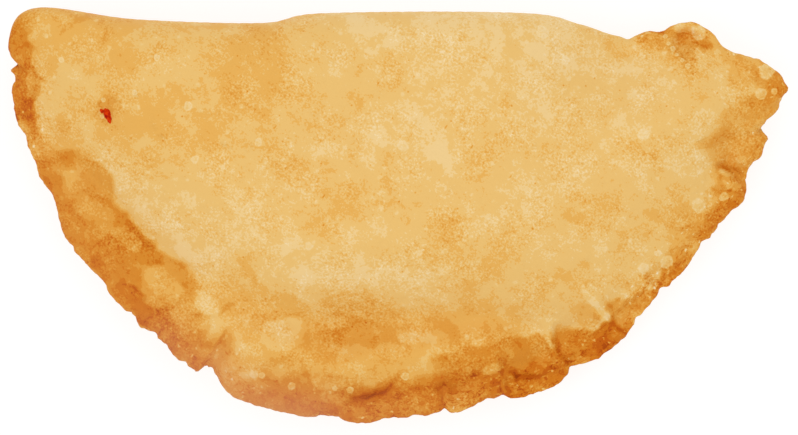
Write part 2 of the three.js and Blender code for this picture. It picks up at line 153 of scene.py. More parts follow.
# Facets of the rim and round the fleck, each browned evenly, later ones over earlier ones:
# x, y, half length, half width, browning in hundredths and, of those that are turned, the turn in degrees
FACETS = [
    (-72, 31.8, 2, 3, 65), (-71.8, 21.8, 3, 1.2, 84, 85), (-67.6, 34.7, 3, 2, 38, 30),
    (-70.5, 25.1, 2, 2, 58), (-72.2, 25.4, 2.6, 1.4, 76, 85), (-67, 8.4, 3.4, 2, 75, -60),
    (-61.3, 7.3, 2.8, 2.2, 49, -60), (-57.1, 0.6, 4, 2.2, 50, -45), (-63.6, 0.5, 8, 2.3, 72, -62),
    (-55.1, -3.8, 1.2, 0.7, 72, 20), (-51.1, -1.7, 1.3, 0.8, 76, -50), (-52.2, -4, 3.4, 1.6, 51, -40),
    (-57, -7.4, 3, 1.6, 70, -55), (-47.3, -7.3, 1.8, 1.1, 67, -50), (-42, -10.4, 4.4, 1.3, 50, -42),
    (-45.4, -12.7, 5, 2.6, 42, -40), (-56.3, -10.2, 4.2, 1.5, 76, -52), (-51.7, -14.8, 4.4, 1.8, 75, -45),
    (-47, -19.8, 3.8, 2.4, 80, -45), (-36.7, -16.7, 3.2, 2.2, 28, -30), (-40.8, -19.2, 3.2, 2.4, 48, -45),
    (-41.1, -26.1, 4, 2, 76, -42), (-36.7, -24.7, 1.4, 1, 66), (-28.9, -27.9, 3.6, 2, 41, -30),
    (-21.8, -23, 4.2, 3.4, 33), (-5.6, -22.2, 8, 2.7, 58, -5), (-11.6, -20.4, 2, 1.3, 42),
    (-20.6, -17.3, 3.8, 2, 52, -20), (3.7, -23.4, 3.6, 1.2, 34), (-8.2, -28.6, 2.8, 1.6, 41),
    (-12.9, -31.6, 3.4, 1.3, 42), (-17.6, -36.4, 3.6, 1.3, 76, -10), (-4.4, -34.1, 2.8, 0.8, 84, 6),
    (-1.4, -32.4, 3, 1, 72), (13, -27.3, 7, 2.6, 66, 5), (23.9, -25.2, 6.5, 2.6, 66, 12),
    (8.1, -33.6, 1.5, 1.7, 71), (10.9, -36.2, 2.2, 1.7, 50, 10), (18.1, -29.3, 2.4, 1, 50, 20),
    (21.8, -32.6, 1.9, 1.8, 69), (18.7, -32, 1, 0.8, 88), (27.5, -29.2, 4.4, 0.9, 79, 15),
    (34, -25.1, 4, 1.6, 74, 28), (28.4, -22.8, 2.8, 0.6, 40, -68), (36.3, -19.6, 3, 2, 46, 30),
    (39.6, -22.6, 3.4, 1.4, 79, 32), (37.5, -25.7, 2.8, 1.4, 88, 35), (44.6, -18.4, 4.6, 1.9, 52, 40),
    (42, -17.8, 2.6, 1.6, 58, 35), (37.9, -17.1, 4.6, 0.75, 24, -50), (52.6, -11.2, 3.6, 1.9, 60, 45),
    (50.9, -10.5, 1.3, 0.6, 76, 35), (49.2, -12.6, 1, 2.2, 33, -20), (59.6, -1.7, 1.4, 1, 77),
    (61.5, 0, 4, 1.1, 68, 35), (65.5, 3.6, 2.4, 1, 67, 60), (63.9, 6.3, 2.2, 1.2, 43, -30),
    (65.3, 15, 5.4, 3.8, 51, 75), (64, 8.6, 2.4, 0.7, 64, -25), (62.8, 8, 1.8, 0.5, 32, -32),
    (73.8, 24.4, 1.2, 1.6, 68), (68.9, 21.4, 1.5, 0.9, 55), (48.8, 34.6, 3.2, 1.1, 53, 12),
    (49.8, 34.8, 1.1, 0.8, 66), (57.3, 33.6, 3.2, 1.6, 54, -22), (55.4, 28, 1.4, 1.1, 47),
    (56.2, 31, 1.2, 2.4, 52, 10), (54.2, 34.2, 1.2, 2, 62, 20), (49.9, 33, 1.4, 2.2, 52, 30),
    (53.4, 31.4, 3.2, 1.2, 50, -52), (54.6, 36, 2.2, 1, 30, 5), (59.3, 32.6, 1.2, 0.5, 70),
    (-55.2, 21.2, 1.6, 0.9, 64), (-53.6, 19.3, 1.8, 2.9, 50, 10),
]
FACET_STRENGTH = 0.92
FACET_SQUARENESS = 3
NARROW_FACET = 1.3
FACET_BORDER = (0.8, 1.08)
FACET_FRAYING = 0.8
NARROW_FRAYING = FACET_FRAYING / 3

# Finer shape of a pleat; the bells of its ridge and of the painted shade in its crease have a half width
# and a middle
PLEAT_BENDS = [(3.0, 0.6)]
PLEAT_END = (-1.5, 0.8)
PLEAT_STEP = (-0.5, 0.7)
TERRACE_FLAT = 0.2
PLEAT_RIDGE = (0.8, -0.9)
PLEAT_SHADE_BELL = (0.4, 0.3)

# Cracks and ridges of the crust: half width, rise, browning (painted shade for the crease at the dome's
# foot), points in plan
CRACKS = [
    (0.35, -0.3, 0.14, [(30.1, -22.4), (30.4, -24.6), (30.2, -26.9)]),
    (0.4, -0.35, 0.12, [(20.5, -27.6), (20.1, -30.5), (19.7, -33), (19.9, -34.6)]),
    (0.4, -0.35, 0.1, [(22, -30.4), (24, -31), (26.9, -30.3), (30.2, -28.8), (32.8, -28)]),
    (0.35, -0.3, 0.12, [(22.4, -29.8), (23.7, -31.9), (24.5, -34.1)]),
    (0.35, -0.3, 0.05, [(29, -28.6), (30.7, -30), (32.8, -30.6)]),
    (0.4, -0.35, 0.12, [(-0.5, -31.8), (-2.4, -33.7), (-4.8, -34.2), (-7.2, -34.4), (-9.8, -35.4)]),
    (0.35, -0.3, 0.1, [(1.9, -32.9), (5.7, -32.8), (9.1, -32.1), (12.9, -31.4), (15.4, -30.6)]),
    (0.35, -0.35, 0.12, [(8.8, -37), (8.6, -34.8), (7.8, -32.8)]),
    (0.4, -0.3, 0.14, [(40.7, -17.8), (40.9, -19.4), (40.4, -21)]),
    (0.3, -0.2, 0.06, [(45, -16.6), (46, -15.7), (47, -15)]),
    (0.35, -0.3, 0.03, [(61.8, 9.3), (64, 8.6), (65.9, 7.8)]),
    (0.35, -0.2, 0.09, [(-54.1, -13), (-50.6, -13.6), (-48.5, -15.6)]),
    (0.4, -0.25, 0.1, [(-49, -20.6), (-46.7, -18.6), (-44.5, -17.4), (-43.8, -19.2)]),
    (0.4, -0.2, 0.05, [(-32.4, -21.4), (-34.2, -23.8), (-35.6, -26.1), (-37.3, -28)]),
    (0.3, -0.2, 0.14, [(-38.9, -18.6), (-36.1, -19.2), (-33.3, -17.9), (-30.6, -16.5)]),
    # Painted shade along the crease at the dome's foot
    (0.5, -0.2, 0.04, [
        (-55.8, 9.6), (-53.2, 2.7), (-50.4, -0.5), (-48.4, -5), (-44.9, -7.4), (-39.3, -10.2),
    ]),
    (0.65, 0.5, 0.03, [(50.7, 35), (51.8, 33), (53.3, 30.6), (55.2, 28.2)]),
    (0.7, -0.4, 0.06, [(54.9, 35.8), (53.9, 33.6), (54, 31.8), (55, 29.8)]),
    (0.4, -0.2, 0.06, [(56.4, 33.2), (58.4, 32.7), (60.6, 32)]),
]
CRACK_FRAYING = 0.5

# Painted shade in the pit, which follows its depth, and a wider soft darkening round it in the pit's shape
PIT_SHADE = 0.16
ROUND_PIT_DARKENING = 0.14
ROUND_PIT_HALF = 4.5
# Flecks: name, x, y, size, turn in degrees
FLECKS = [("fleck", -54.9, 19.2, (1.35, 2.8, 1.2), 16), ("fleck_crumb", -56.1, 19.95, (0.7, 0.8, 0.7), 0)]
# Ball that a fleck is crumpled from, and the crumpling
FLECK_SIDES = 28
FLECK_LEVELS = 14
CRUMPLES = [(0.6, 0.3)]
CRUMPLE_PLACE = 9

# Finer shape of the step to the lower sheet, and the width of the painted shade along its foot
STEP_WAVER = [(4.5, 0.9)]
STEP_FRAYING = [(1.6, 0.45)]
STEP_SOFTNESS = 0.4
STEP_SHADE_BELL = 0.6

# Browning of the rim: share, reach inward, softness of its inner border, strength
RIM_BROWNING = [
    (0, 5, 1.6, 0.34), (0.014, 5.3, 1.6, 0.36), (0.027, 5.4, 2, 0.3), (0.045, 3.8, 1.6, 0.5),
    (0.055, 2.9, 1.4, 0.6), (0.07, 2.8, 1.6, 0.26), (0.085, 3.5, 3, 0.2), (0.098, 9, 5, 0.24),
    (0.112, 12, 1.6, 0.26), (0.16, 12, 1.4, 0.3), (0.21, 12.9, 1.4, 0.34), (0.236, 13.8, 1.8, 0.24),
    (0.262, 9, 6, 0.3), (0.28, 7, 5, 0.36), (0.3, 6, 4, 0.36), (0.33, 4.5, 3.5, 0.34),
    (0.37, 7.5, 3.5, 0.36), (0.43, 7, 3, 0.4), (0.46, 7.4, 4, 0.38), (0.5, 7.2, 6, 0.41),
    (0.56, 8, 7, 0.41), (0.6, 7.5, 2.5, 0.34), (0.625, 3.8, 2.2, 0.48), (0.65, 5, 5, 0.3),
    (0.68, 4, 4, 0.32), (0.71, 4.6, 5.5, 0.28), (0.735, 5, 6, 0.28), (0.755, 4.5, 5, 0.32),
    (0.77, 5.5, 6, 0.28), (0.785, 9, 7, 0.27), (0.81, 11, 6, 0.26), (0.83, 9, 5, 0.22),
    (0.845, 6, 5, 0.22), (0.86, 4, 4, 0.24), (0.875, 4, 4, 0.16), (0.895, 3.5, 4, 0.12),
    (0.92, 3, 3, 0.1), (0.94, 4, 3, 0.16), (0.957, 5, 3.5, 0.2), (0.975, 3.5, 2.5, 0.2),
    (0.985, 3, 2, 0.18), (1, 2, 2, 0.08),
]
# Fraying of that border, which grows with its softness
RIM_FRAY = 0.3
SOFT_RIM_FRAY = 0.2
RIM_FRAYING = [(3.5, 1), (1.4, 0.5)]

# Dull reddish tint of the rim: share, strength
RIM_RUDDINESS = [
    (0, 0.05), (0.22, 0.1), (0.27, 0.4), (0.38, 0.58), (0.42, 0.24), (0.48, 0.1), (0.55, 0), (1, 0),
]
RUDDY_REACH = 6

# Browning of the dome, and painted shade in the valley at its foot
DOME_TOAST = 0.33
VALLEY_SHADE = 0.15
VALLEY_BELL = (4.0, -3.0)
VALLEY_SHARES = (0.26, 0.33, 0.52, 0.58)
FOLD_TOAST_REACH = 7
# Browning beside the fold: x, browning
FOLD_BROWNING = [
    (-75, 0.12), (-58, 0.14), (-45, 0.07), (-38, 0.05), (-29, 0.09), (-20, 0.05), (-8, -0.03), (5, -0.01),
    (23, -0.03), (45, 0.02),
]

# Browning of the belly and the seam; painted shade in the creases of small relief, at the pleats and at the
# step's foot; and on the crags painted shade in the hollows and painted light on the tops
BELLY_TOAST = 0.46
CONTACT_TOAST = 0.12
CONTACT_HEIGHT = 2
BELLY_TOAST_RUN = 9
PLEAT_SHADE = 0.08
STEP_SHADE = 0.1
SEAM_TOAST = 0.08
CRAG_SHADE_AND_LIGHT = 0.12

# Patches that fried darker or stayed paler, with a few of painted shade and light among them, given in the
# same way
PATCHES = [
    (-27.3, 29.5, 9, 5, 11, 60), (-22.6, 23.6, 3, 4, 14), (-13, 1.6, 6.5, 4.4, 10, 20),
    (-0.6, 10.3, 2.4, 1.6, 12), (37.5, 1.6, 5, 3, 8), (46.2, 12.6, 3.2, 1.8, 10),
    (-73.4, 34.5, 5, 3.4, 30, 80), (-36, 14, 22, 14, 4), (34.4, -16.5, 6, 4, 6), (-7.8, -16.5, 9, 3, 12),
    (-7.8, -27, 6, 4, 11), (1, -28.8, 7.5, 3.6, 14), (21.8, -21.1, 4, 3.4, 9),
    # The last patch on the next line is painted shade along a wrinkle by the valley
    (-31.4, -15.5, 4.4, 4.2, 13), (-20.5, -28.8, 6.5, 3, 19), (-28.4, -10.7, 3.5, 0.8, 12, -45),
    (68.4, 25.7, 3.4, 2.8, 25), (52.6, 0.4, 4.4, 4.4, 17), (52.1, 31.4, 2.6, 2.8, 10),
    (-53.2, 29.3, 3.6, 3, 12), (-15.8, -10.9, 11, 6, -9, 20), (-35.6, 5.3, 6, 5, -6, 90),
    # The first patch on the next line is painted light on the dome's slope above the left flange
    (-45, -2, 12, 2.4, -5, -50), (-1.3, -12.4, 8, 5, -8), (21, 29.5, 17, 8, -6, -25),
    # The patch at (45, 25.7) on the next line is painted light where the dome slopes down to the fold
    (1.5, 32.5, 7, 4, -12), (45, 25.7, 6, 6, -5), (58.5, 14.4, 5, 5.4, -10),
    (-37.6, -7.8, 5, 3, -15, -40), (-38.5, -22.4, 4.6, 4.6, -7), (-10.6, -33.6, 3, 2.4, -20),
    (4.4, 11.2, 4, 2.8, -11), (-29.1, -33.4, 3.2, 3.2, -10), (-64.3, 38.4, 3.4, 1.8, -12),
    (-54.9, 7.9, 5.6, 3.8, -8, -30), (32.5, 8.4, 4.2, 4.6, -10), (-34.8, -25.6, 4, 5, -8),
    (-23.7, -17.3, 5.6, 3.8, 8), (7, 20, 6, 5.4, -10), (-41.5, -0.8, 6, 4, -7), (-26.6, -0.6, 3.2, 7, -9),
    (14.3, -20.1, 2.4, 2, -10), (-49.4, -13.2, 4.6, 3.8, -8, -45), (37, -5.2, 4.6, 4, -9),
    (5.5, -10.5, 5.4, 3, -9), (32.5, 32.2, 6, 4.8, -8), (-57.6, -3.3, 4.6, 3, -9, -50),
    (-18.1, -31.6, 5, 1.4, -13), (45, -15.5, 3.6, 3.4, -10), (10.8, -24, 3, 4, 16),
    (-8.5, 19.2, 5, 3.4, 8), (18.7, -15.3, 3, 4.4, 7), (-68.9, 29.7, 3.6, 4, 8),
    (-32, -22.4, 5, 2.6, 8, -35), (-29.4, -19.6, 2.6, 1.8, -12), (12.4, -30.9, 2.2, 2.6, 14),
    (55.7, -4.8, 2, 2.6, -13), (66, 20.5, 3.6, 2.6, -7), (-32.3, -29.4, 2.4, 3.6, -18, -35),
    (-71.4, 17.6, 1.5, 3, -24), (47.7, -11, 2, 2.6, -8), (-33.5, 14.6, 2.3, 3.4, 7),
    (6.2, 0.6, 2.9, 3.7, 8), (-13.9, -35.8, 4.6, 1.8, 15), (9.7, -6.3, 4.9, 3.5, 7),
    (24.8, 11.3, 2.2, 2.8, 7), (-5.5, 12.8, 5, 3.6, -7), (-50.5, -6.5, 4.4, 2.4, 7), (-64, 14, 4, 4, 9),
    (59.2, -2.3, 1.4, 1.8, 20),
]

# Fraying of the borders of patches and tones: size, shift
FRAYING = [(5.0, 1.2), (2.0, 0.7), (0.9, 0.4)]

# Blisters that stand out: x, y, radius
BLISTERS = [
    (51.4, -8.8, 1.3), (57.6, 35.1, 1.4), (70.5, 27.6, 1.6), (69.5, 23.3, 1.1), (57.5, 2, 1.5),
    (46.6, 15.4, 1.1), (71.9, 23.8, 0.7), (49.6, -7.1, 0.7), (62.4, 3.7, 1), (1, 13.2, 1.2),
    (27.5, 34.9, 1.3), (31.9, 29.5, 0.9), (-39.5, 20.7, 0.9), (-38.2, 10.7, 0.8), (-49.6, 23.2, 0.6),
    (-64, 29.7, 0.6), (-45.4, 29.9, 0.7), (-26.1, 13.9, 0.8), (-20.2, -32.6, 0.8), (-9.1, -33.3, 0.75),
    (-12, -33, 0.5), (1.4, -30.7, 0.9), (-27.5, -30.4, 0.8), (-25.9, -30.5, 0.6), (-16.7, -5.7, 0.8),
    (46.9, -10, 1.2), (-56.1, 18.9, 0.4), (-55.7, 22, 0.45), (51.2, 34.3, 0.5), (51.8, 33, 0.4),
    (52.6, 31.9, 0.5), (53.3, 30.8, 0.4), (54.3, 29.7, 0.45), (55.3, 28.6, 0.55),
]
SMALL_BLISTERS = 260
BLISTER_SEED = SEED + 30
BLISTER_FIELD = (75, 40)
SMALL_BLISTER_RADII = (0.5, 1.1)
BLISTER_HEIGHT = 0.25
BLISTER_STEEPNESS = 1.5
# Looks of the blisters that stand out, in shares of their radius
FAR_FROM_BLISTERS = 9
BLISTER_FRAYING = (1.2, 3, 0.5, 0.6)
BLISTER_BORDER = (0.85, 1.06)
BLISTER_PALENESS = 0.6
BLISTER_RING = 0.7
RING_WIDTH = 0.3
RING_PALENESS = 0.24
BLISTER_MOTTLE = (0.5, (0.35, 0.65), (0.55, 1))

# Fine relief of the crust, of the rim's crags and of its ragged edge: size, height
CRUST_GRAIN = [(7.0, 0.22), (3.0, 0.1), (1.4, 0.05)]
CRAG_GRAIN = [(3.2, 0.3), (1.6, 0.26), (0.9, 0.16)]
RAGGED_EDGE = [(5.0, 0.12), (2.0, 0.16), (0.9, 0.18), (0.5, 0.12)]
# How ragged the edge is: share, amount
RAGGEDNESS = [
    (0, 1), (0.07, 0.6), (0.23, 0.6), (0.26, 0.9), (0.29, 0.6), (0.31, 0.5), (0.34, 0.7), (0.86, 0.7),
    (1, 0.5),
]
CRAG_REACH = 6
# How craggy the rim looks along the edge: share, amount
CRAGGINESS = [
    (0, 0.7), (0.08, 0.7), (0.11, 0.25), (0.2, 0.3), (0.24, 0.7), (0.3, 1), (0.78, 1), (0.84, 0.7),
    (1, 0.6),
]
# Middle of Blender's noise, which runs from 0 to 1
NOISE_MIDDLE = 0.5
# Painted shade in creases along the rim, and pale flakes on it
RIM_NOISE = (3, 0.6)
CREASE_SIZE = (5.0, 1.5)
CREASE_WIDTH = 0.022
CREASE_SHADE = 0.28
CREASE_PLACES = (3, (0.46, 0.56))
FLAKE_SIZE = (1.8, 0.8)
FLAKE_BAND = (0.6, 0.66)
FLAKE_TOAST = -0.3
FLAKE_PLACES = (4, (0.45, 0.55))
# What the mesh tells the material at each place; its browning carries painted shade and light as well
TRAITS = ("toast_and_shade", "ruddy", "craggy", "along", "inward")

# Gap between the two sheets along the pressed edge
LIP_HEIGHT = 0.5
LIP_AT_FOLD = 0.15
SEAM_GAP = 0.8
SEAM_GAP_LENGTH = 7
SEAM_GAP_NOISE = (-0.4, 0.6)

# Grid of the crust: a column of the fold side takes two steps of the spine
SPINE_LEFT = (-54.0, 20.0)
SPINE_RIGHT = (54.0, 13.0)
SPINE_SAG = 15
FOLD_COLUMNS = 280
RIM_COLUMNS = 2 * FOLD_COLUMNS
COLUMNS = RIM_COLUMNS + FOLD_COLUMNS
SPINE_PLACES = RIM_COLUMNS + 1
TOP_RINGS = 100
BELLY_RINGS = 11
TOP_CROWDING = 1.2
BELLY_CROWDING = 1.6
BREAK_FADING = 8
SMALL_BREAK_FADING = 20
BELLY_SOFTNESS = 0.6
# Runs along the edge over which raggedness and gape begin and end
RIM_START_RUN = 2
RIM_END_RUN = 6
# Fineness of the edge's samples and of the noise
SAMPLES_PER_SPAN = 40
EDGE_SAMPLES = 700
OUTLINE_SAMPLES = 4000
SURVEY_CHUNK = 4000
NOISE_TABLE = 128
NOISE_TURN = 0.7

# Crust colours from pale to dark, as they show in the photograph: browning, red, green, blue
CRUST_COLOURS = [
    (0.0, (241, 223, 184)), (0.15, (235, 206, 152)), (0.3, (230, 190, 116)), (0.45, (226, 170, 82)),
    (0.6, (217, 146, 50)), (0.75, (206, 120, 23)), (0.9, (190, 92, 7)), (1.0, (168, 72, 3)),
]
RUDDY_COLOUR = (204, 132, 92)
# Browning at which the crust begins to count as brown, and fully
BROWN_BAND = (0.4, 0.65)
# Unevenness of the browning: size, detail, roughness, amount
TOAST_NOISE = [(16, 8, 0.62, 0.16), (4.5, 8, 0.66, 0.24)]
# Crumbs of the craggy rim, and the share of them on other brown places
CRUMB_NOISE = (2.6, 5, 0.6, 0.3)
BROWN_CRUMBS = 0.35
# Steps of browning that tones are drawn to
TONE_STEP = 0.11
TONE_STEPPING = 0.95
TONE_BORDER = (0.43, 0.57)
# Grain of the colour: size, detail, roughness, amount
TOAST_GRAIN = [(1.1, 3, 0.6, 0.15), (0.4, 2, 0.5, 0.34)]
# Grainy places: size, band of their border, grain outside and inside, detail, roughness
GRAINY_PLACES = (7, (0.42, 0.6), (0.2, 1), 3, 0.6)
# Spots: size of their cells, radius, share of the cells that have one, shift and size of their raggedness
PALE_DOTS = (2.4, 0.55, 0.35, 0.5, 0.9)
# The rim's pale flecks are partly flakes and partly painted glints; its dark pits are painted shade of
# small hollows
RIM_GLINTS = (1.2, 0.34, 0.3, 0.45, 0.6)
PITS = (1.9, 0.5, 0.3, 0.6, 0.8)
# Round specks and dashes in the same way, and the turn and stretch of the dashes
SPECKS = (2.2, 0.24, 0.35)
DASHES = (2.0, 0.2, 0.25)
DASH_STRETCH = (55, 3)
# Browning and paleness of the spots; the rim's pale flecks are partly painted glints and its dark pits
# painted shade
GLINT_LIGHTENING = -0.42
PIT_SPOT_SHADE = 0.2
SPECK_TOAST = 0.22
DOT_PALENESS = (0.5, 0.2)
PALE_TOAST = 0.08
PALE_STRENGTH = 0.85
# Finish of the crust and its fine bump
CRUST_ROUGHNESS = (3, (0.3, 0.7), (0.48, 0.66))
CRUST_SPECULAR = 0.08
BUMP_NOISE = (0.9, 3)
FINE_BUMP_NOISE = (0.35, 2)
FINE_BUMP_SHARE = 0.5
BUMP_DEPTH = 0.25
BUMP_STRENGTH = (0.4, 0.9)
# The texture is squeezed in height, so that slopes look as lively as the flat from above
TEXTURE_SQUEEZE = (1, 1, 0.5)
TEXTURE_TURN = (0.4, 0.5, 0.6)
# Colours of the fleck over its noise, and its finish
FLECK_COLOURS = [(0.4, (216, 60, 0)), (0.65, (160, 14, 0))]
FLECK_NOISE = (0.7, 2)
FLECK_ROUGHNESS = 0.6
FLECK_SPECULAR = 0.05

# Floor and light, in metres and watts; softboxes: name, place, size, power
FLOOR_SIZE = 8
FLOOR_COLOUR = (140, 140, 140)
FLOOR_ROUGHNESS = 0.9
FLOOR_SPECULAR = 0.1
FLOOR_GLOW = 0.78
WHITE = (1, 1, 1, 1)
WORLD_STRENGTH = 0.83
SOFTBOXES = [("key", (-0.4, -0.38, 1.1), 0.9, 3), ("fill", (0.4, 0.7, 0.9), 0.9, 1.9)]

# Picture: the photograph's frame and how many millimetres it takes in
PICTURE_WIDTH = 798
PICTURE_HEIGHT = 435
PIXELS_PER_MM = 5.214
OBJECT_MIDDLE = (397.5, 216.0)
CAMERA_HEIGHT = 1.1
SENSOR_WIDTH = 36


def smoothstep(value, low, high):
    share = np.clip((value - low) / (high - low), 0, 1)
    return share * share * (3 - 2 * share)


def bell(distance, half, middle=0):
    return np.exp(-(((distance - middle) / half) ** 2))


def quarter_round(share, fullness=2.0):
    return (1 - (1 - np.clip(share, 0, 1)) ** fullness) ** (1 / fullness)


def wave(distance, length):
    return np.sin(2 * math.pi * distance / length)


def soft_ramp(value, blend):
    return (value + np.hypot(value, blend)) / 2


def eased(knots, share, column=1):
    """Value of a list of knots at each share, eased from knot to knot."""
    table = np.array(knots, float).T
    starts, values = table[0], table[column]
    index = np.clip(np.searchsorted(starts, share, side="right") - 1, 0, len(knots) - 2)
    mix = smoothstep(share, starts[index], starts[index + 1])
    return values[index] + (values[index + 1] - values[index]) * mix


def noise(places, size, seed):
    """Smooth noise from -1 to 1 in plan, with features about size millimetres across."""
    table = np.random.default_rng(SEED + seed).uniform(-1, 1, (NOISE_TABLE, NOISE_TABLE))
    turn = seed * NOISE_TURN
    along = (places.x * math.cos(turn) + places.y * math.sin(turn)) / size
    across = (places.y * math.cos(turn) - places.x * math.sin(turn)) / size
    corner = np.floor([along, across]).astype(int)
    mix_x, mix_y = smoothstep([along, across] - corner, 0, 1)
    left, low = corner % NOISE_TABLE
    right, high = (corner + 1) % NOISE_TABLE
    bottom = table[low, left] * (1 - mix_x) + table[low, right] * mix_x
    top = table[high, left] * (1 - mix_x) + table[high, right] * mix_x
    return bottom * (1 - mix_y) + top * mix_y


def grain(places, layers, seed):
    """Sum of noises, each of a size and a height."""
    return sum(height * noise(places, size, seed + index) for index, (size, height) in enumerate(layers))


def make_edge():
    """The even edge as a fine closed Catmull-Rom line, with its length and the ends of its stretches."""
    points = np.array(PRESSED_EDGE + FOLDED_EDGE, float)
    before, after, second = np.roll(points, 1, 0), np.roll(points, -1, 0), np.roll(points, -2, 0)
    bend = 2 * before - 5 * points + 4 * after - second
    twist = 3 * (points - after) + second - before
    spans = []
    for share in np.arange(SAMPLES_PER_SPAN) / SAMPLES_PER_SPAN:
        spans.append(points + 0.5 * ((after - before) * share + bend * share**2 + twist * share**3))
    line = np.stack(spans, axis=1).reshape(-1, 2)
    line = np.vstack([line, line[:1]])
    steps = np.hypot(*np.diff(line, axis=0).T)
    length = np.concatenate([[0], np.cumsum(steps)])
    ends = np.array([RIGHT_TIP, len(PRESSED_EDGE) - 1, len(points)])
    tip, pressed, total = length[ends * SAMPLES_PER_SPAN]
    return SimpleNamespace(line=line, length=length, tip=tip, pressed=pressed, total=total)


edge = make_edge()


def edge_points(lengths):
    return np.stack([np.interp(lengths, edge.length, edge.line[:, axis]) for axis in (0, 1)], axis=1)


def edge_tangents(lengths, step=0.3):
    ahead = edge_points((lengths + step) % edge.total)
    behind = edge_points((lengths - step) % edge.total)
    tangents = ahead - behind
    return tangents / np.hypot(*tangents.T)[:, None]


def edge_outward(lengths):
    tangents = edge_tangents(lengths)
    return np.stack([tangents[:, 1], -tangents[:, 0]], axis=1)


# Samples of the pressed edge and of the fold
pressed_lengths = np.linspace(0, edge.pressed, EDGE_SAMPLES + 1)
pressed_points = edge_points(pressed_lengths)
pressed_tangents = edge_tangents(pressed_lengths)
pressed_widths = eased(RIM_WIDTHS, pressed_lengths / edge.pressed)
pressed_softness = eased(FOOT_SOFTNESS, pressed_lengths / edge.pressed)
folded_points = edge_points(np.linspace(edge.pressed, edge.total, EDGE_SAMPLES + 1))


def gaps_to(points, x, y):
    return np.hypot(x[:, None] - points[:, 0], y[:, None] - points[:, 1])


def distances(x, y):
    """Distances to the rim and the fold and what goes with the nearest stretch of the rim."""
    gaps = gaps_to(pressed_points, x, y)
    weights = np.exp((gaps.min(axis=1, keepdims=True) - gaps) / SLOPE_BLEND)
    weights /= weights.sum(axis=1, keepdims=True)
    nearest = gaps.argmin(axis=1)
    from_nearest = np.column_stack([x, y]) - pressed_points[nearest]
    ahead = (from_nearest * pressed_tangents[nearest]).sum(axis=1)
    return {
        "rim_distance": (weights * gaps).sum(axis=1) - SLOPE_BLEND / 2,
        "rim_width": weights @ pressed_widths,
        "foot_softness": weights @ pressed_softness,
        "share": np.clip((pressed_lengths[nearest] + ahead) / edge.pressed, 0, 1),
        "rim_gap": gaps.min(axis=1),
        "fold_distance": gaps_to(folded_points, x, y).min(axis=1),
    }


def survey(x, y, edge_distance):
    """Places in plan with their distances to the rim and the fold and their share of the pressed edge."""
    chunks = [slice(start, start + SURVEY_CHUNK) for start in range(0, len(x), SURVEY_CHUNK)]
    parts = [distances(x[chunk], y[chunk]) for chunk in chunks]
    found = {key: np.concatenate([part[key] for part in parts]) for key in parts[0]}
    near = SimpleNamespace(x=x, y=y, edge_distance=edge_distance, **found)
    near.inward = np.minimum(near.rim_gap, edge_distance)
    near.rounding = quarter_round(edge_distance / RIM_ROUNDING)
    near.on_rim = 1 - smoothstep(near.rim_distance - near.fold_distance, *RIM_TO_FOLD)
    return near


def sum_of_breaks(breaks, share):
    return sum(out * bell((share - at) * edge.pressed, half) for at, out, half in breaks)


def make_columns():
    """Columns of the grid: feet on the spine, ends on the even edge, how far the edge is broken there."""
    rim_lengths = np.linspace(0, edge.tip, RIM_COLUMNS + 1)
    lengths = np.concatenate([rim_lengths, np.linspace(edge.tip, edge.total, FOLD_COLUMNS + 1)[1:-1]])
    spine = np.concatenate([np.arange(RIM_COLUMNS + 1), RIM_COLUMNS - 2 * np.arange(1, FOLD_COLUMNS)])
    ends = edge_points(lengths)
    feet = spine_places(spine / RIM_COLUMNS)
    outward = edge_outward(lengths)
    share = lengths / edge.pressed
    on_rim = smoothstep(edge.pressed - lengths, 0, RIM_END_RUN) * smoothstep(lengths, 0, RIM_START_RUN)
    run = SimpleNamespace(x=lengths, y=0)
    ragged = on_rim * grain(run, RAGGED_EDGE, seed=10) * eased(RAGGEDNESS, np.minimum(share, 1))
    gape = noise(run, SEAM_GAP_LENGTH, seed=15)
    return SimpleNamespace(
        lengths=lengths, feet=feet, ends=ends, outward=outward, on_rim=on_rim,
        opening=on_rim * smoothstep(gape, *SEAM_GAP_NOISE),
        depth=((ends - feet) * outward).sum(axis=1),
        broken=sum_of_breaks(EDGE_BREAKS, share),
        torn=ragged + sum_of_breaks(SMALL_BREAKS, share),
    )


def spine_places(along):
    """Places on the spine, which sags in a parabola between its ends."""
    feet = np.outer(1 - along, SPINE_LEFT) + np.outer(along, SPINE_RIGHT)
    feet[:, 1] -= SPINE_SAG * 4 * along * (1 - along)
    return feet


def places_on(columns, reach):
    """Places along the columns: reach is 0 on the spine and 1 on the edge."""
    broken = columns.broken * reach**BREAK_FADING + columns.torn * reach**SMALL_BREAK_FADING
    point = columns.feet + (columns.ends - columns.feet) * reach + columns.outward * broken[:, None]
    distance = (1 - reach) * columns.depth + columns.broken + columns.torn - broken
    return point[:, 0], point[:, 1], np.maximum(distance, 0)


def seam_height(near):
    lift = FOLD_LIFT * smoothstep(near.y, LIFT_START, LIFT_END)
    return SEAM_HEIGHT + lift + RIM_WAVE * wave(near.x, SEAM_WAVE_LENGTH)


def dome_height(near):
    past_foot = soft_ramp(near.rim_distance - near.rim_width, near.foot_softness)
    wall_share = np.clip(past_foot / (DOME_REACH - near.rim_width), 0, 1)
    wall = 1 - (1 - wall_share) ** WALL_FULLNESS
    lump = DOME_LUMP * wave(near.x, LUMP_LENGTH_X) * wave(near.y, LUMP_LENGTH_Y)
    return (DOME_RISE + lump) * wall * quarter_round(near.fold_distance / FOLD_NOSE, NOSE_FULLNESS)


def turned(places, x, y, degrees=0):
    """Distances of places from a middle, along a turned direction and across it."""
    turn = math.radians(degrees)
    along = (places.x - x) * math.cos(turn) + (places.y - y) * math.sin(turn)
    across = (places.y - y) * math.cos(turn) - (places.x - x) * math.sin(turn)
    return along, across


